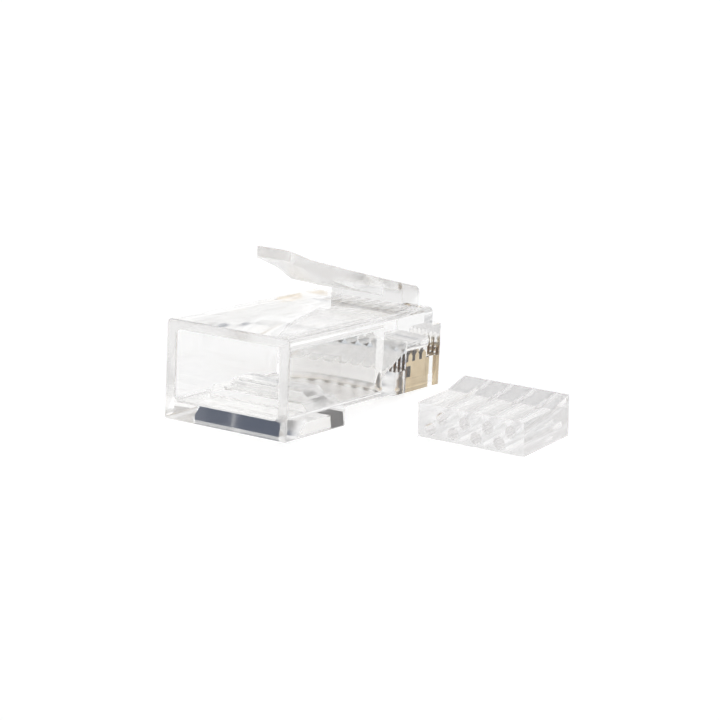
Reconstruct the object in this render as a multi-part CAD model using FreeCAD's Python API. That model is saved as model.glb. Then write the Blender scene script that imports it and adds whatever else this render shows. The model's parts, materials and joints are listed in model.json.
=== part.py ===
import FreeCAD, Part
import math
import os

# Eight-way modular plug for solid or stranded data cable, not yet crimped, resting on its
# contacts and on the heel of its rear block, with its load bar (the wire guide) lying beside it.
# Millimetres. The plug is drawn level first: X across it, Y from the cable mouth towards the
# nose, Z up from the nose's underside. It is then laid down as it comes to rest.
# In the finished frame +X is across, +Y is the way it enters a jack, and +Z is up. The origin
# lies on the plug's centre line, where the plane of the nose's front face meets the surface.

# Moulded body
body_width = 11.68
body_height = 6.6
body_length = 21.3
block_length = 7.75           # deeper rear block, round the cable jacket
block_drop = 1.35             # how far it stands below the nose
middle_relief = 0.2           # shallow step between the block and the front land
land_length = 6.85            # front land, level with the nose's underside
corner_setback = 1.4          # front corners beside the latch root
corner_height = 5.05          # of what stands in front of them
long_edge_round = 0.4         # along the top
heel_edge_round = 0.2         # along the underside of the block
nose_edge_round = 0.35
setback_edge_round = 0.25

# Cable cavity
side_wall = 0.95
top_wall = 0.75
cavity_floor = 0.25           # above the nose's underside
cavity_depth = 13.3
cavity_corner = 0.35
rim_round = 0.12              # round the cable mouth, inside and out

# Cable clamp: two raised steps in the floor, over a pocket in the block's underside
clamp_start = 3.82
clamp_step_height = 0.78
clamp_step_foot = 4.5         # half widths, at its foot and along its top
clamp_step_top = 4.05
clamp_step_length = 4.5
clamp_front_slope = 0.5
crown_start = 5.32
crown_height = 0.5
crown_foot = 3.6
crown_top = 3.1
crown_length = 2.2
pocket_rear = 2.6
pocket_front = 6.9
pocket_depth = 0.92
pocket_slope = 1.05           # run of its slanted rear wall
pocket_half_width = 4.15
pocket_end_slope = 0.28       # each end leans in by this much at the roof

# Wire chamber, funnel and channels
contact_count = 8
contact_pitch = 1.02
chamber_margin = 0.1          # side clearance beyond the outer wires
chamber_floor = 0.55
chamber_roof = 4.7
channel_start = 17.15
channel_radius = 0.47
channel_height = 3.5          # of the wires' centres above the nose's underside
front_wall = 0.9
ramp_bulge = 0.62
groove_radius = 0.4           # of the grooves over the ramp, and of those in the roof
groove_rear = 14.45
groove_rear_height = 2.1
roof_groove_height = 4.8      # where they meet the end of the cavity

# Wire clamp: a pocket across the underside, just behind the contacts, over which the ramp is
# pressed onto the wires when the plug is crimped
wire_pocket_rear = 15.7
wire_pocket_length = 1.33
wire_pocket_height = 1.6      # above the nose's underside
wire_pocket_half_width = 4.1

# Contacts
contact_thickness = 0.35
contact_clearance = 0.03      # on each side, in its slot
contact_length = 3.35
contact_setback = 0.5         # behind the nose's front face
contact_proud = 0.34          # below the nose's underside until it is crimped
contact_blade_height = 2.49
contact_toe_round = 0.3
contact_end_clearance = 0.08
spring_slot_width = 0.6       # wider foot of each slot, where a jack's springs run
spring_slot_height = 0.75     # above the nose's underside
notch_length = 0.65           # in each contact's rear edge
notch_height = 0.9
notch_rise = 1.24             # above the contact's lower edge
tooth_count = 3
teeth_setback = 0.25          # from the contact's rear edge
tooth_height = 0.7
tooth_width = 0.6
tooth_gap = 0.4
tooth_point = 0.12            # flat left on each tip

# Latch
root_half_width = 3.45
root_height = 1.78            # above the body, where the web starts
root_length = 2.68
root_front_round = 0.8
root_edge_round = 0.25
web_length = 2.22
web_thickness = 0.74
arm_length = 4.12
arm_thickness = 1.4
arm_half_width = 3.11
arm_slope = 14.2              # degrees
flare_length = 3.91
flare_slope = 16.2
tab_length = 3.09
tab_slope = 19.6
tab_thickness = 0.85
tab_half_width = 1.62
tab_corner_chamfer = 0.3

# Load bar, lying beside the plug
bar_width = 9.41
bar_depth = 6.65
bar_height = 2.7
ridge_height = 3.27
ridge_slope_length = 2.52
bar_hole_radius = 0.5
lower_hole_height = 0.72
upper_hole_height = 1.71      # at the rear face
upper_hole_rise = 0.94        # over the bar's depth
bar_gap = 6.05                # between the plug's side and the bar
bar_setback = 5.78            # behind the origin

on_face = 0.01                # an edge this near to a face counts as lying on it

half_width = body_width / 2
cavity_half = half_width - side_wall
cavity_roof = body_height - top_wall
chamber_half = contact_pitch * contact_count / 2 + chamber_margin
contact_front = body_length - contact_setback
contact_rear = contact_front - contact_length
contact_bottom = -contact_proud
blade_top = contact_bottom + contact_blade_height
teeth_rear = contact_rear + teeth_setback
teeth_length = tooth_count * tooth_width + (tooth_count - 1) * tooth_gap
root_rear = body_length - root_length
web_rear = root_rear - web_length
shoulder_at = web_rear - arm_length
flare_at = shoulder_at - flare_length
tab_end = flare_at - tab_length
root_top = body_height + root_height
web_top = root_top + web_length * math.tan(math.radians(arm_slope))
shoulder_top = web_top + arm_length * math.tan(math.radians(arm_slope))
flare_top = shoulder_top + flare_length * math.tan(math.radians(flare_slope))
tab_top = flare_top + tab_length * math.tan(math.radians(tab_slope))


def side_solid(path, half):
    """A side outline in Y and Z, extruded across X by half to each side. An entry of two
    points is an arc through the first that ends at the second."""
    start = path[-1][1] if isinstance(path[-1][0], tuple) else path[-1]
    last = FreeCAD.Vector(-half, *start)
    edges = []
    for entry in path:
        if isinstance(entry[0], tuple):
            middle, end = (FreeCAD.Vector(-half, *point) for point in entry)
            edges.append(Part.Arc(last, middle, end).toShape())
        else:
            end = FreeCAD.Vector(-half, *entry)
            edges.append(Part.makeLine(last, end))
        last = end
    return Part.Face(Part.Wire(edges)).extrude(FreeCAD.Vector(2 * half, 0, 0))


def plan_solid(corners, low, high):
    """A plan outline in X and Y, extruded from low to high."""
    points = [FreeCAD.Vector(x, y, low) for x, y in corners]
    return Part.Face(Part.makePolygon(points + points[:1])).extrude(FreeCAD.Vector(0, 0, high - low))


def end_solid(corners, rear, front):
    """An end outline in X and Z, extruded along Y from rear to front."""
    points = [FreeCAD.Vector(x, rear, z) for x, z in corners]
    return Part.Face(Part.makePolygon(points + points[:1])).extrude(FreeCAD.Vector(0, front - rear, 0))


def rounded_mouth(half, low, high, radius):
    """A wire in the plane of the rear face: a rectangle with round corners."""
    box = Part.makeBox(2 * half, 1, high - low, FreeCAD.Vector(-half, 0, low))
    long_edges = [edge for edge in box.Edges if abs(edge.tangentAt(edge.FirstParameter).y) > 0.9]
    rounded = box.makeFillet(radius, long_edges)
    return min(rounded.Faces, key=lambda face: face.CenterOfMass.y).OuterWire


def trapezoid(foot, top, low, high):
    return [(-foot, low), (foot, low), (top, high), (-top, high)]


def edges_near(shape, test):
    """The edges whose middle and direction pass the test; points with no length are left out."""
    found = []
    for edge in shape.Edges:
        if edge.Length < on_face:
            continue
        along = edge.tangentAt((edge.FirstParameter + edge.LastParameter) / 2)
        if test(edge.CenterOfMass, along):
            found.append(edge)
    return found


def body_shell():
    """The outside of the moulding: rear block, middle, front land and set-back corners."""
    land_start = body_length - land_length
    shell = side_solid([
        (block_length, -block_drop),
        (block_length, middle_relief),
        (land_start - middle_relief, middle_relief),
        (land_start, 0),
        (body_length, 0),
        (body_length, body_height),
        (0, body_height),
        (0, -block_drop),
    ], half_width)
    for side in (-1, 1):
        outer = side * half_width
        inner = side * root_half_width
        low_x, high_x = min(outer, inner), max(outer, inner)
        shell = shell.cut(Part.makeBox(
            high_x - low_x, corner_setback, body_height - corner_height,
            FreeCAD.Vector(low_x, body_length - corner_setback, corner_height)))
    nose_edges = edges_near(shell, lambda middle, along: abs(along.z) > 0.9
                            and abs(middle.x) > half_width - on_face and middle.y > body_length - on_face)
    shell = shell.makeFillet(nose_edge_round, nose_edges)
    setback_edges = edges_near(shell, lambda middle, along: abs(along.z) > 0.9
                               and abs(middle.x) > half_width - on_face and middle.z > corner_height
                               and abs(middle.y - body_length + corner_setback) < on_face)
    shell = shell.makeFillet(setback_edge_round, setback_edges)
    top_edges = edges_near(shell, lambda middle, along: abs(along.y) > 0.9
                           and abs(middle.x) > half_width - on_face and middle.z > body_height - on_face)
    shell = shell.makeFillet(long_edge_round, top_edges)
    heel_edges = edges_near(shell, lambda middle, along: abs(along.y) > 0.9
                            and abs(middle.x) > half_width - on_face and middle.z < on_face - block_drop)
    return shell.makeFillet(heel_edge_round, heel_edges)


def latch_root():
    """The block at the front of the body that carries the latch's web."""
    crown_end = body_length - root_front_round
    crown_z = root_top - (crown_end - root_rear) * math.tan(math.radians(arm_slope))
    bend = root_front_round * (1 - math.cos(math.radians(45)))
    root = side_solid([
        (root_rear, root_top),
        (crown_end, crown_z),
        ((body_length - bend, crown_z - bend), (body_length, crown_z - root_front_round)),
        (body_length, corner_height),
        (root_rear, corner_height),
    ], root_half_width)
    top_edges = edges_near(root, lambda middle, along: abs(along.y) > 0.9
                           and abs(middle.x) > root_half_width - on_face and middle.z > body_height)
    return root.makeFillet(root_edge_round, top_edges)


def cable_cavity():
    """The room for the cable jacket and the load bar."""
    mouth = rounded_mouth(cavity_half, cavity_floor, cavity_roof, cavity_corner)
    return Part.Face(mouth).extrude(FreeCAD.Vector(0, cavity_depth, 0))


def cable_clamp():
    """Two steps across the cavity floor, with leaning ends, that hold the jacket."""
    step_top = cavity_floor + clamp_step_height
    step_end = clamp_start + clamp_step_length
    step = end_solid(trapezoid(clamp_step_foot, clamp_step_top, cavity_floor, step_top),
                     clamp_start, step_end)
    slope = side_solid([
        (step_end - clamp_front_slope, step_top),
        (step_end, cavity_floor),
        (step_end, step_top),
    ], clamp_step_foot)
    crown = end_solid(trapezoid(crown_foot, crown_top, step_top, step_top + crown_height),
                      crown_start, crown_start + crown_length)
    return step.cut(slope).fuse(crown)


def clamp_pocket():
    """The pocket under the clamp that lets it bend inwards when it is crimped."""
    roof = -block_drop + pocket_depth
    side = side_solid([
        (pocket_rear, -block_drop),
        (pocket_rear + pocket_slope, roof),
        (pocket_front, roof),
        (pocket_front, -block_drop),
    ], pocket_half_width)
    ends = end_solid(trapezoid(pocket_half_width, pocket_half_width - pocket_end_slope,
                               -block_drop, roof), pocket_rear, pocket_front)
    return side.common(ends)


def wire_chamber():
    """The funnel that leads the wires up a rounded ramp to their channels."""
    foot = FreeCAD.Vector(0, cavity_depth, chamber_floor)
    crest = FreeCAD.Vector(0, channel_start, channel_height - channel_radius)
    chord = crest - foot
    normal = FreeCAD.Vector(0, -chord.z, chord.y).normalize()
    bulge = foot + chord * 0.5 + normal * ramp_bulge
    return side_solid([
        (cavity_depth, chamber_floor),
        ((bulge.y, bulge.z), (channel_start, crest.z)),
        (channel_start, channel_height + channel_radius),
        (cavity_depth, chamber_roof),
    ], chamber_half)


def wire_way(x):
    """One wire's blind channel, and the two grooves that lead to it: over the ramp and
    along the roof."""
    start = FreeCAD.Vector(x, channel_start - channel_radius, channel_height)
    length = body_length - front_wall - start.y
    ways = [Part.makeCylinder(channel_radius, length, start, FreeCAD.Vector(0, 1, 0))]
    for rear_y, rear_z in ((groove_rear, groove_rear_height), (cavity_depth, roof_groove_height)):
        rear = FreeCAD.Vector(x, rear_y, rear_z)
        run = FreeCAD.Vector(x, channel_start, channel_height) - rear
        ways.append(Part.makeCylinder(groove_radius, run.Length, rear, run))
    return ways


def contact_slot(x):
    """A contact's slot, open below, open at the nose and open up into its wire's channel."""
    rear = contact_rear - contact_end_clearance
    front = body_length + contact_setback
    teeth_end = teeth_rear + teeth_length + contact_end_clearance
    below = contact_bottom - contact_end_clearance
    slot = side_solid([
        (rear, below),
        (front, below),
        (front, blade_top + contact_end_clearance),
        (teeth_end, blade_top + contact_end_clearance),
        (teeth_end, channel_height),
        (rear, channel_height),
    ], contact_thickness / 2 + contact_clearance)
    foot = side_solid([(rear, below), (front, below), (front, spring_slot_height),
                       (rear, spring_slot_height)], spring_slot_width / 2)
    return slot.fuse(foot).translated(FreeCAD.Vector(x, 0, 0))


def contact_places():
    first = -(contact_count - 1) * contact_pitch / 2
    return [first + number * contact_pitch for number in range(contact_count)]


def wire_pocket():
    """The pocket under the ramp, open below."""
    return side_solid([
        (wire_pocket_rear, -block_drop),
        (wire_pocket_rear, wire_pocket_height),
        (wire_pocket_rear + wire_pocket_length, wire_pocket_height),
        (wire_pocket_rear + wire_pocket_length, -block_drop),
    ], wire_pocket_half_width)


def housing():
    body = body_shell().cut(cable_cavity())
    body = body.makeFillet(rim_round, [edge for edge in body.Edges if edge.CenterOfMass.y < on_face
                                       and edge.BoundBox.YLength < on_face])
    body = body.fuse(latch_root()).cut(wire_chamber())
    body = body.fuse(cable_clamp()).cut([clamp_pocket(), wire_pocket()])
    for x in contact_places():
        body = body.cut(wire_way(x) + [contact_slot(x)])
    return body.removeSplitter()


def latch():
    """The sprung arm: web, wide arm with its shoulders, flare and thumb tab."""
    side = side_solid([
        (root_rear, root_top),
        (root_rear, root_top - web_thickness),
        (web_rear, web_top - web_thickness),
        (web_rear, web_top - arm_thickness),
        (shoulder_at, shoulder_top - arm_thickness),
        (tab_end, tab_top - tab_thickness),
        (tab_end, tab_top),
        (flare_at, flare_top),
        (shoulder_at, shoulder_top),
    ], arm_half_width)
    half_plan = [
        (arm_half_width, root_rear),
        (arm_half_width, shoulder_at),
        (tab_half_width, flare_at),
        (tab_half_width, tab_end + tab_corner_chamfer),
        (tab_half_width - tab_corner_chamfer, tab_end),
    ]
    plan = half_plan + [(-x, y) for x, y in reversed(half_plan)]
    return side.common(plan_solid(plan, body_height, tab_top))


def contact(x):
    """A stamped blade with piercing teeth along its rear top edge."""
    toe = contact_toe_round
    bend = toe * (1 - math.cos(math.radians(45)))
    notch_low = contact_bottom + notch_rise
    notch_end = contact_rear + notch_length
    path = [
        (contact_rear, notch_low),
        (contact_rear, contact_bottom),
        (contact_front - toe, contact_bottom),
        ((contact_front - bend, contact_bottom + bend), (contact_front, contact_bottom + toe)),
        (contact_front, blade_top),
    ]
    tip = blade_top + tooth_height
    for tooth in reversed(range(tooth_count)):
        rear = teeth_rear + tooth * (tooth_width + tooth_gap)
        middle = rear + tooth_width / 2
        shoulder = tip - (tooth_width - tooth_point) / 2
        path += [
            (rear + tooth_width, blade_top),
            (rear + tooth_width, shoulder),
            (middle + tooth_point / 2, tip),
            (middle - tooth_point / 2, tip),
            (rear, shoulder),
            (rear, blade_top),
        ]
    path += [
        (contact_rear, blade_top),
        (contact_rear, notch_low + notch_height),
        (notch_end, notch_low + notch_height),
        (notch_end, notch_low),
    ]
    return side_solid(path, contact_thickness / 2).translated(FreeCAD.Vector(x, 0, 0))


def load_bar():
    """The wire guide: four straight holes, and between them four that climb and break out
    through the sloped face below the ridge."""
    bar = side_solid([
        (0, 0),
        (bar_depth, 0),
        (bar_depth, ridge_height),
        (bar_depth - ridge_slope_length, bar_height),
        (0, bar_height),
    ], bar_width / 2)
    climb = upper_hole_rise / bar_depth
    overrun = bar_hole_radius
    for number, x in enumerate(contact_places()):
        upper = number % 2 == 1
        height = upper_hole_height - overrun * climb if upper else lower_hole_height
        run = FreeCAD.Vector(0, 1, climb if upper else 0)
        bar = bar.cut(Part.makeCylinder(bar_hole_radius, (bar_depth + 3 * overrun) * run.Length,
                                        FreeCAD.Vector(x, -overrun, height), run))
    return bar


def rest_placement():
    """Nose down by the angle at which the heel and the contacts' toes both touch the surface."""
    toe_y = contact_front - contact_toe_round - block_length
    toe_z = contact_bottom + contact_toe_round + block_drop
    reach = math.hypot(toe_y, toe_z)
    tilt = math.atan2(toe_z, toe_y) - math.asin(contact_toe_round / reach)
    lift = block_length * math.sin(tilt) + block_drop * math.cos(tilt)
    back = lift * math.tan(tilt) - body_length / math.cos(tilt)
    turn = FreeCAD.Rotation(FreeCAD.Vector(1, 0, 0), -math.degrees(tilt))
    return FreeCAD.Placement(FreeCAD.Vector(0, back, lift), turn)


def save(shape, name):
    shape.exportStep("parts/" + name + ".step")


os.makedirs("parts", exist_ok=True)
rest = rest_placement()
save(housing().transformed(rest.toMatrix()), "housing")
save(latch().transformed(rest.toMatrix()), "latch")
for number, x in enumerate(contact_places(), start=1):
    save(contact(x).transformed(rest.toMatrix()), "contact_%d" % number)
bar_place = FreeCAD.Vector(half_width + bar_gap + bar_width / 2, -bar_setback - bar_depth, 0)
save(load_bar().translated(bar_place), "load_bar")
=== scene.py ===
"""Looks of the clear modular plug: moulded shell with its bending latch, gold contacts and load bar."""

import json
import math

import bmesh
import bpy
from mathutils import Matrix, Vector


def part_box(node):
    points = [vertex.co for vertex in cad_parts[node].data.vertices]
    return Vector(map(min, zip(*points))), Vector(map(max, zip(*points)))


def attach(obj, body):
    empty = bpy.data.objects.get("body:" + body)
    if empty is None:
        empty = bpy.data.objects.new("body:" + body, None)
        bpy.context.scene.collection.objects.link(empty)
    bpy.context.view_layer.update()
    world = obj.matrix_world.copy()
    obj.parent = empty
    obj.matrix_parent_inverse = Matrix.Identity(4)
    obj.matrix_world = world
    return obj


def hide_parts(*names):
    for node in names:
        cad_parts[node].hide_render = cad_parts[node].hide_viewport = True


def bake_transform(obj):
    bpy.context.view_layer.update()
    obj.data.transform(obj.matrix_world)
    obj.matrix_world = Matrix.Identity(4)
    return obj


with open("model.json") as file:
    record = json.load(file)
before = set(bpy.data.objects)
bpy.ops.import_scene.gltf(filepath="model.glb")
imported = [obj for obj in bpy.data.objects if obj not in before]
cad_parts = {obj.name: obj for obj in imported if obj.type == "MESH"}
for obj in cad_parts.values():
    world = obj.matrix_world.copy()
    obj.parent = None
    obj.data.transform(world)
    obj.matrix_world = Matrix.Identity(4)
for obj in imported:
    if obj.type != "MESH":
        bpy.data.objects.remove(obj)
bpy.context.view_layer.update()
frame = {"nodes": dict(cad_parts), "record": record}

MM = 0.001
CONTACTS = ["contact_%d" % number for number in range(1, 9)]

# Camera. Its azimuth is a compass angle from the rear of the plug, turning towards +X.
CAMERA_AZIMUTH = 34.525
CAMERA_HEIGHT_ANGLE = 15.502
CAMERA_DISTANCE = 209.43 * MM
CAMERA_TARGET = Vector((-4.126, 3.004, 0.0)) * MM
CAMERA_LENS = 122.855
CAMERA_SENSOR = 36
CAMERA_CLIP = 1 * MM

# Clear plastic. Each finish has a tint, its least roughness, and how much more the clouds add.
# The darker tints of the rim and of the wire channels are painted shade; the latch's clearer tint is
# painted light.
PLASTIC_IOR = 1.585
PLASTIC_TINT = (0.950, 0.947, 0.942, 1)
PLASTIC_FINISHES_AND_PAINTED_LIGHT = {
    "shell_plastic": (PLASTIC_TINT, 0.015, 0.03),
    "satin_plastic": (PLASTIC_TINT, 0.14, 0.1),
    # The rim's darker tint is painted shade; its satin roughness is real.
    "rim_painted_shade_plastic": ((0.790, 0.782, 0.774, 1), 0.2, 0.1),
    # The wire channels' dark blue-grey tint is painted shade in the recesses; their rougher walls are
    # real.
    "channel_painted_shade_plastic": ((0.46, 0.51, 0.57, 1), 0.2, 0.1),
    # The latch's tint, clearer than the shell's, is painted light that brightens the same plastic.
    "latch_painted_light_plastic": ((0.995, 0.993, 0.990, 1), 0.2, 0.1),
    "guide_plastic": ((0.905, 0.900, 0.897, 1), 0.16, 0.1),
}
SHELL_FINISHES_AND_PAINTED_SHADE = ["shell_plastic", "satin_plastic", "rim_painted_shade_plastic", "channel_painted_shade_plastic"]

# Moulded skin: waves and clouds to the metre and how fine each goes, the waves' full height, and
# the share of it that the plastic has
SKIN_WAVES = 400.0
WAVE_DETAIL = 2.0
SKIN_CLOUDS = 220.0
CLOUD_DETAIL = 4.0
WAVE_HEIGHT = 0.02 * MM
PLASTIC_WAVE_SHARE = 0.02

# Contacts: gold tones to the metre and how fine they go, the plate's skin, and the edges towards
# the wires, bare bronze painted near black as shade between the contacts, the darker the more they
# face that side, from the first of the last two limits below to the second
GOLD_TONES = 900.0
GOLD_DETAIL = 2.0
GOLD_DEEP = (0.60, 0.47, 0.28, 1)
GOLD_PALE = (0.86, 0.74, 0.53, 1)
GOLD_ROUGHNESS = 0.2
GOLD_UNEVENNESS = 0.15
GOLD_WAVE_SHARE = 0.3
# Near black: partly the bare bronze of the cut edges, partly painted shade between the contacts.
BARE_BRONZE_AND_SHADE = (0.07, 0.05, 0.035, 1)
WIRE_SIDE = (0.0, -0.7, 0.7)
BARE_SHADE_FROM = 0.2
BARE_SHADE_FULL = 0.4

# Shell and latch arm
WELD_GAP = 0.0005 * MM
EDGE_ANGLE = math.radians(32)
WEB_REACH = 0.6 * MM
SOFT_EDGE = 0.09 * MM
SOFT_EDGE_STEPS = 2

# Zones of the shell with a finish of their own; the rim, the latch's root and the wire channels also
# carry painted shade. Drops run down from the hinge. Depths run rearwards and heights upwards, by
# the plug's own directions, from the low rear corner of the first contact.
# CLAMP_FACING is how far a face of the clamp has to face upwards.
RIM_THICKNESS = 0.15 * MM
RIM_DROP = 6.6 * MM
ROOT_DROP = 0.9 * MM
RAMP_DEPTHS = (-0.2 * MM, 4.2 * MM)
RAMP_HEIGHTS = (0.7 * MM, 5.2 * MM)
RAMP_SIDE_ROOM = 0.6 * MM
CLAMP_DEPTH = 4.2 * MM
CLAMP_HEIGHTS = (0.45 * MM, 3.2 * MM)
CLAMP_HALF_WIDTH = 4.5 * MM
CLAMP_FACING = 0.2
CHANNEL_DEPTH = 0.9 * MM
CHANNEL_HEIGHT = 3.84 * MM
CHANNEL_RADIUS = 0.47 * MM
CHANNEL_WALL = (0.85 * CHANNEL_RADIUS, 1.05 * CHANNEL_RADIUS)

# Studio
WHITE = (1, 1, 1, 1)
FLOOR_HALF_SIZE = 3.0
FLOOR_GAP = 0.02 * MM
FLOOR_COLOUR = (0.88, 0.88, 0.88, 1)
FLOOR_ROUGHNESS = 0.6
FLOOR_GLOSS = 0.2
FLOOR_GLOW = 0.335
ROOM_LIGHT = 0.86
DISPLAY_GAMMA = 0.85
CLEAR_BOUNCES = 64
PLAIN_BOUNCES = 16

# Zones of the white room that are brighter or darker than the rest, in degrees: compass angle from
# the rear of the plug, angle above the floor, half width of the even core, half width with the
# soft rim; then the colour
ROOM_ZONES = [
    (-145, 10, 16, 36, (1.35, 1.35, 1.35, 1)),
    (-97, 55, 14, 24, (0.0, 0.03, 0.10, 1)),
    (-138, 36, 5, 13, (0.40, 0.42, 0.45, 1)),
    (-38, 12, 8, 16, (0.17, 0.165, 0.165, 1)),
]

# Sockets of a Mix node that mixes colours; by name they can't be told from its other kinds
MIX_SHARE = 0
MIX_BASE = 6
MIX_TONE = 7
MIX_RESULT = 2


# Shader nodes


def noise(tree, place, to_the_metre, detail):
    """Soft, random-looking values over a piece, the same on every run."""
    texture = tree.nodes.new("ShaderNodeTexNoise")
    texture.inputs["Scale"].default_value = to_the_metre
    texture.inputs["Detail"].default_value = detail
    tree.links.new(place.outputs["Object"], texture.inputs["Vector"])
    return texture.outputs["Fac"]


def closeness(tree, vector, target):
    """How nearly a vector points along the target."""
    product = tree.nodes.new("ShaderNodeVectorMath")
    product.operation = "DOT_PRODUCT"
    product.inputs[1].default_value = target
    tree.links.new(vector, product.inputs[0])
    return product.outputs["Value"]


def step_up(tree, value, start, full, curve="LINEAR"):
    """A share that grows from 0 to 1 while the value goes from start to full."""
    step = tree.nodes.new("ShaderNodeMapRange")
    step.interpolation_type = curve
    step.inputs["From Min"].default_value = start
    step.inputs["From Max"].default_value = full
    tree.links.new(value, step.inputs["Value"])
    return step.outputs["Result"]


def tone_over(tree, base, tone, share):
    """A tone laid over a base colour by a share. With no base, it lies over white."""
    blend = tree.nodes.new("ShaderNodeMix")
    blend.data_type = "RGBA"
    blend.inputs[MIX_BASE].default_value = WHITE
    blend.inputs[MIX_TONE].default_value = tone
    tree.links.new(share, blend.inputs[MIX_SHARE])
    if base is not None:
        tree.links.new(base, blend.inputs[MIX_BASE])
    return blend.outputs[MIX_RESULT]


def mould_skin_group():
    """The faint waviness and uneven polish of a moulded or stamped face: a roughness and a normal."""
    group = bpy.data.node_groups.new("mould_skin", "ShaderNodeTree")
    for name in ("Least Roughness", "Unevenness", "Wave Share"):
        group.interface.new_socket(name=name, in_out="INPUT", socket_type="NodeSocketFloat")
    group.interface.new_socket(name="Roughness", in_out="OUTPUT", socket_type="NodeSocketFloat")
    group.interface.new_socket(name="Normal", in_out="OUTPUT", socket_type="NodeSocketVector")
    nodes, links = group.nodes, group.links
    entry, leave = nodes.new("NodeGroupInput"), nodes.new("NodeGroupOutput")
    place = nodes.new("ShaderNodeTexCoord")
    bump = nodes.new("ShaderNodeBump")
    bump.inputs["Distance"].default_value = WAVE_HEIGHT
    links.new(noise(group, place, SKIN_WAVES, WAVE_DETAIL), bump.inputs["Height"])
    links.new(entry.outputs["Wave Share"], bump.inputs["Strength"])
    links.new(bump.outputs["Normal"], leave.inputs["Normal"])
    cloudy = nodes.new("ShaderNodeMath")
    cloudy.operation = "MULTIPLY_ADD"
    links.new(noise(group, place, SKIN_CLOUDS, CLOUD_DETAIL), cloudy.inputs[0])
    links.new(entry.outputs["Unevenness"], cloudy.inputs[1])
    links.new(entry.outputs["Least Roughness"], cloudy.inputs[2])
    links.new(cloudy.outputs["Value"], leave.inputs["Roughness"])
    return group


# Materials


def new_material(name):
    """A material with its node tree and its main shader."""
    material = bpy.data.materials.new(name)
    material.use_nodes = True
    return material, material.node_tree, material.node_tree.nodes["Principled BSDF"]


def lay_skin(tree, shader, skin, least_roughness, unevenness, wave_share):
    """Gives a shader the moulded skin's roughness and normal."""
    surface = tree.nodes.new("ShaderNodeGroup")
    surface.node_tree = skin
    surface.inputs["Least Roughness"].default_value = least_roughness
    surface.inputs["Unevenness"].default_value = unevenness
    surface.inputs["Wave Share"].default_value = wave_share
    tree.links.new(surface.outputs["Roughness"], shader.inputs["Roughness"])
    tree.links.new(surface.outputs["Normal"], shader.inputs["Normal"])


def clear_plastic(name, skin, tint, least_roughness, unevenness):
    """Clear moulded polycarbonate."""
    material, tree, shader = new_material(name)
    shader.inputs["Base Color"].default_value = tint
    shader.inputs["Transmission Weight"].default_value = 1.0
    shader.inputs["IOR"].default_value = PLASTIC_IOR
    lay_skin(tree, shader, skin, least_roughness, unevenness, PLASTIC_WAVE_SHARE)
    return material


def gold_plate(skin):
    """Thin gold over stamped bronze, with the edges towards the wires bare and painted near black as
    shade.
    """
    material, tree, shader = new_material("gold_plate")
    shader.inputs["Metallic"].default_value = 1.0
    place = tree.nodes.new("ShaderNodeTexCoord")
    gold = tree.nodes.new("ShaderNodeValToRGB")
    gold.color_ramp.elements[0].color = GOLD_DEEP
    gold.color_ramp.elements[1].color = GOLD_PALE
    tree.links.new(noise(tree, place, GOLD_TONES, GOLD_DETAIL), gold.inputs["Fac"])
    # Painted shade: faces turned towards the wires go near black.
    bare_and_shade = step_up(tree, closeness(tree, place.outputs["Normal"], WIRE_SIDE), BARE_SHADE_FROM, BARE_SHADE_FULL)
    tree.links.new(tone_over(tree, gold.outputs["Color"], BARE_BRONZE_AND_SHADE, bare_and_shade),
                   shader.inputs["Base Color"])
    lay_skin(tree, shader, skin, GOLD_ROUGHNESS, GOLD_UNEVENNESS, GOLD_WAVE_SHARE)
    return material


def floor_paint():
    """Pale matt paint with a glow of its own."""
    material, _, shader = new_material("studio_floor")
    shader.inputs["Base Color"].default_value = FLOOR_COLOUR
    shader.inputs["Roughness"].default_value = FLOOR_ROUGHNESS
    shader.inputs["Specular IOR Level"].default_value = FLOOR_GLOSS
    shader.inputs["Emission Color"].default_value = WHITE
    shader.inputs["Emission Strength"].default_value = FLOOR_GLOW
    return material


def finish_with(piece, *materials):
    """Gives a piece these materials in place of its own."""
    piece.data.materials.clear()
    for material in materials:
        piece.data.materials.append(material)


# Moulded shell and latch arm


def level_frame():
    """The hinge point, and the plug's own forward and upward directions, from the record."""
    record = frame["record"]
    entry = next(mount for mount in record["mounts"] if mount["name"] == "jack_entry")
    hinge = next(joint for joint in record["behaviour"]["joints"] if joint["name"] == "latch_flex")
    forward = Vector(entry["axis"]).normalized()
    return Vector(hinge["pos_m"]), forward, Vector((1, 0, 0)).cross(forward)


def new_piece(name, mesh):
    """An object for a mesh, in the scene."""
    piece = bpy.data.objects.new(name, mesh)
    bpy.context.scene.collection.objects.link(piece)
    return piece


def welded_copy(node):
    """A closed mesh with a CAD node's shape."""
    mesh = frame["nodes"][node].data.copy()
    work = bmesh.new()
    work.from_mesh(mesh)
    bmesh.ops.remove_doubles(work, verts=work.verts, dist=WELD_GAP)
    work.to_mesh(mesh)
    work.free()
    if mesh.has_custom_normals:
        mesh.attributes.remove(mesh.attributes["custom_normal"])
    return new_piece(node + "_copy", mesh)


def moulded_in_one():
    """Housing and latch joined into one clear mesh, with no face between them."""
    shell, arm = welded_copy("housing"), welded_copy("latch")
    join = shell.modifiers.new("join", "BOOLEAN")
    join.operation = "UNION"
    join.solver = "EXACT"
    join.object = arm
    bpy.context.view_layer.update()
    graph = bpy.context.evaluated_depsgraph_get()
    mesh = bpy.data.meshes.new_from_object(shell.evaluated_get(graph))
    bpy.data.objects.remove(shell)
    bpy.data.objects.remove(arm)
    return mesh


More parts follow.
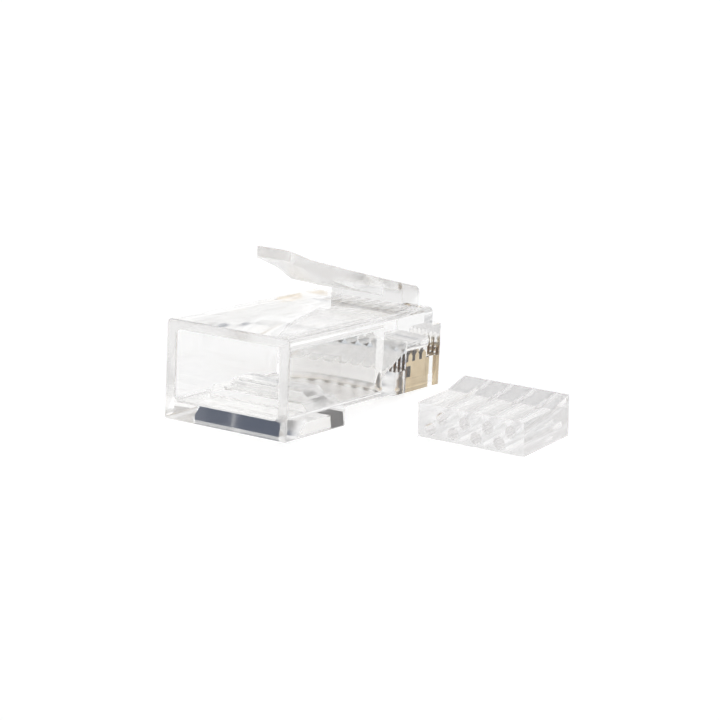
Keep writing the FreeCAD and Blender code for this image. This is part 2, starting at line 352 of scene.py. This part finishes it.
def split_at_web(mesh, hinge, forward, upward):
    """Parts the joined mesh where the web leaves the root, each half left open there, so
    that light passes through."""

    def on_arm(face):
        offset = face.calc_center_median() - hinge
        return offset.dot(forward) < -WELD_GAP and offset.dot(upward) > -WEB_REACH

    halves = []
    for name, keep_arm in (("housing_shell", False), ("latch_arm", True)):
        work = bmesh.new()
        work.from_mesh(mesh)
        gone = [face for face in work.faces if on_arm(face) != keep_arm]
        bmesh.ops.delete(work, geom=gone, context="FACES")
        half = bpy.data.meshes.new(name)
        work.to_mesh(half)
        work.free()
        halves.append(new_piece(name, half))
    return halves


def crisp_edges(piece):
    """Smooth curved faces, sharp edges between faces."""
    for face in piece.data.polygons:
        face.use_smooth = True
    piece.data.set_sharp_from_angle(angle=EDGE_ANGLE)


def soften_edges(piece):
    """Rounds the sharp edges a little."""
    soften = piece.modifiers.new("soften", "BEVEL")
    soften.width = SOFT_EDGE
    soften.segments = SOFT_EDGE_STEPS
    soften.limit_method = "ANGLE"
    soften.angle_limit = EDGE_ANGLE


def within(value, limits):
    """Whether a value lies between two limits."""
    return limits[0] < value < limits[1]


def finish_and_shade_shell(shell, plastic, hinge, forward, upward):
    """Satin on the ramp and funnel and on the top of the cable clamp, a rougher rim round the mouth
    and on the latch's root darkened by painted shade in its tint, rough walls in the wire channels
    darkened by painted shade in a dark blue-grey tint, and a polished finish elsewhere."""
    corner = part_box("contact_1")[0]
    start = corner - hinge
    ramp_half_width = RAMP_SIDE_ROOM - corner.x
    wires = [sum(end.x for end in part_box(contact)) / 2 for contact in CONTACTS]
    mouth = min(vertex.co.dot(forward) for vertex in shell.data.vertices)

    def finish_and_shade_of(face):
        offset = face.center - hinge
        rise = offset.dot(upward)
        depth = start.dot(forward) - offset.dot(forward)
        height = rise - start.dot(upward)
        aside = abs(face.center.x)
        from_wire = math.hypot(min(abs(face.center.x - wire) for wire in wires),
                               height - CHANNEL_HEIGHT)
        # Walls of the wire channels get painted shade as a dark blue-grey tint.
        if depth < CHANNEL_DEPTH and within(from_wire, CHANNEL_WALL):
            return "channel_painted_shade_plastic"
        if within(depth, RAMP_DEPTHS) and within(height, RAMP_HEIGHTS) and aside < ramp_half_width:
            return "satin_plastic"
        on_clamp = depth > CLAMP_DEPTH and within(height, CLAMP_HEIGHTS) and aside < CLAMP_HALF_WIDTH
        if on_clamp and face.normal.dot(upward) > CLAMP_FACING:
            return "satin_plastic"
        # The rim round the mouth and the latch's root get painted shade as a darker tint.
        on_rim = face.center.dot(forward) < mouth + RIM_THICKNESS and rise > -RIM_DROP
        if on_rim or rise > -ROOT_DROP:
            return "rim_painted_shade_plastic"
        return "shell_plastic"

    finish_with(shell, *(plastic[name] for name in SHELL_FINISHES_AND_PAINTED_SHADE))
    for face in shell.data.polygons:
        face.material_index = SHELL_FINISHES_AND_PAINTED_SHADE.index(finish_and_shade_of(face))


def moulded_plug(plastic):
    """The shell, and the latch arm as a piece apart from it, parted at the web."""
    hinge, forward, upward = level_frame()
    shell, arm = split_at_web(moulded_in_one(), hinge, forward, upward)
    for piece in (shell, arm):
        crisp_edges(piece)
    finish_and_shade_shell(shell, plastic, hinge, forward, upward)
    # The arm gets the clearer tint: painted light.
    finish_with(arm, plastic["latch_painted_light_plastic"])
    soften_edges(arm)
    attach(shell, "plug")
    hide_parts("housing")
    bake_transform(arm)
    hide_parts("latch")


# Studio


def direction(compass, rise):
    """The way towards a compass angle from the rear of the plug and an angle above the floor."""
    compass, rise = math.radians(compass), math.radians(rise)
    return Vector((math.sin(compass) * math.cos(rise), -math.cos(compass) * math.cos(rise),
                   math.sin(rise)))


def studio_floor():
    """A wide pale floor, a hair below the plug."""
    corners = [(x * FLOOR_HALF_SIZE, y * FLOOR_HALF_SIZE, -FLOOR_GAP)
               for x, y in ((-1, -1), (1, -1), (1, 1), (-1, 1))]
    mesh = bpy.data.meshes.new("studio_floor")
    mesh.from_pydata(corners, [], [(0, 1, 2, 3)])
    floor = new_piece("studio_floor", mesh)
    finish_with(floor, floor_paint())


def studio_light():
    """Even light from a white room, with its brighter and darker zones."""
    world = bpy.data.worlds.new("studio_room")
    bpy.context.scene.world = world
    world.use_nodes = True
    tree = world.node_tree
    place = tree.nodes.new("ShaderNodeTexCoord")
    room = None
    for compass, rise, core, rim, tone in ROOM_ZONES:
        near = closeness(tree, place.outputs["Generated"], direction(compass, rise))
        share = step_up(tree, near, math.cos(math.radians(rim)), math.cos(math.radians(core)),
                        "SMOOTHSTEP")
        room = tone_over(tree, room, tone, share)
    background = tree.nodes["Background"]
    background.inputs["Strength"].default_value = ROOM_LIGHT
    tree.links.new(room, background.inputs["Color"])


def studio_camera():
    """A long lens that looks down on the plug from behind one corner of it."""
    back = direction(CAMERA_AZIMUTH, CAMERA_HEIGHT_ANGLE)
    data = bpy.data.cameras.new("studio_camera")
    data.sensor_width = CAMERA_SENSOR
    data.lens = CAMERA_LENS
    data.clip_start = CAMERA_CLIP
    camera = new_piece("studio_camera", data)
    camera.location = CAMERA_TARGET + back * CAMERA_DISTANCE
    camera.rotation_euler = (-back).to_track_quat("-Z", "Y").to_euler()
    bpy.context.scene.camera = camera


def light_paths():
    """Enough bounces for light to cross every wall of the clear plug."""
    cycles = bpy.context.scene.cycles
    cycles.max_bounces = CLEAR_BOUNCES
    cycles.transmission_bounces = CLEAR_BOUNCES
    cycles.glossy_bounces = CLEAR_BOUNCES
    cycles.diffuse_bounces = PLAIN_BOUNCES
    cycles.transparent_max_bounces = PLAIN_BOUNCES
    cycles.caustics_refractive = True
    cycles.caustics_reflective = True
    cycles.blur_glossy = 0.0
    cycles.sample_clamp_indirect = 0.0
    cycles.use_denoising = True


def display():
    """A plain display, with a gamma that darkens the middle tones."""
    settings = bpy.context.scene.view_settings
    settings.view_transform = "Standard"
    settings.gamma = DISPLAY_GAMMA


skin = mould_skin_group()
plastic = {name: clear_plastic(name, skin, *finish) for name, finish in PLASTIC_FINISHES_AND_PAINTED_LIGHT.items()}
gold = gold_plate(skin)
moulded_plug(plastic)
finish_with(frame["nodes"]["load_bar"], plastic["guide_plastic"])
for contact in CONTACTS:
    finish_with(frame["nodes"][contact], gold)
studio_floor()
studio_light()
studio_camera()
light_paths()
display()
